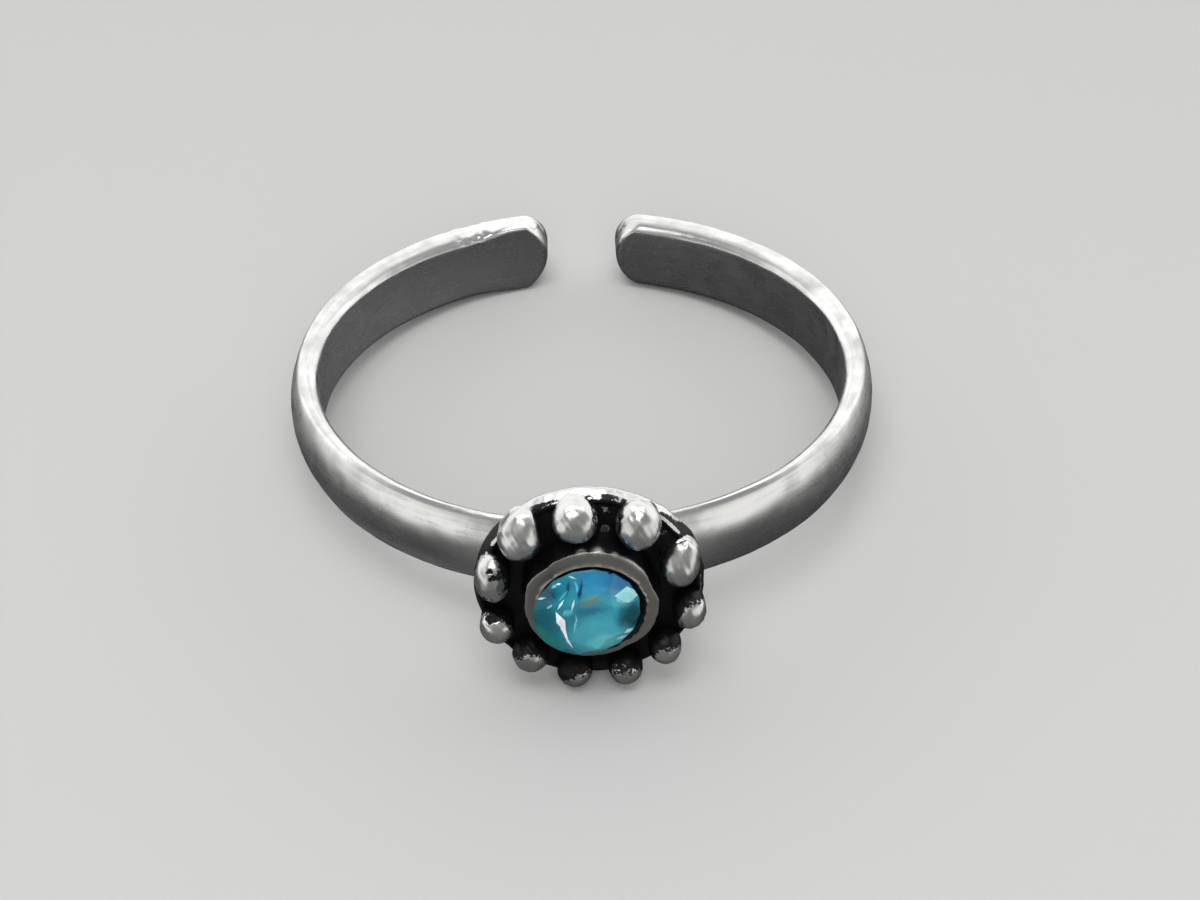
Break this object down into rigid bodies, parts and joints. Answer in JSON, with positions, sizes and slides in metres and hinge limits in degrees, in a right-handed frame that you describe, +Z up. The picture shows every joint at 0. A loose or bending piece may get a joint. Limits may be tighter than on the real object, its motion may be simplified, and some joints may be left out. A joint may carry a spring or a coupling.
{
  "type": "open toe ring with a granule-edged round crown and one round-cut stone",
  "caption": "Open silver toe ring that rests on its side: a half-round band with a gap, and a round crown edged with granules that holds a faceted round stone in a flat-faced bezel.",
  "frame": {"origin": "middle of the ring's box on the surface that it rests on", "axes": "+Z up from the surface, -Y towards the crown and its stone, +Y towards the gap of the band; the bore's axis leans 6.2 degrees from +Z towards +Y, because the ring rests on its crown's edge and its two band ends"},
  "size_m": [0.0172, 0.0196, 0.0061],
  "materials": {
    "silver": "sterling silver, satin, worn smooth by hand polishing",
    "oxidised_silver": "sterling silver blackened in the recesses of the crown and rubbed bright on its high places",
    "blue_stone": "transparent sky-blue round-cut stone, polished"
  },
  "bodies": {
    "root": {"silver_ring": "silver", "stone": "blue_stone"}
  },
  "joints": []
}
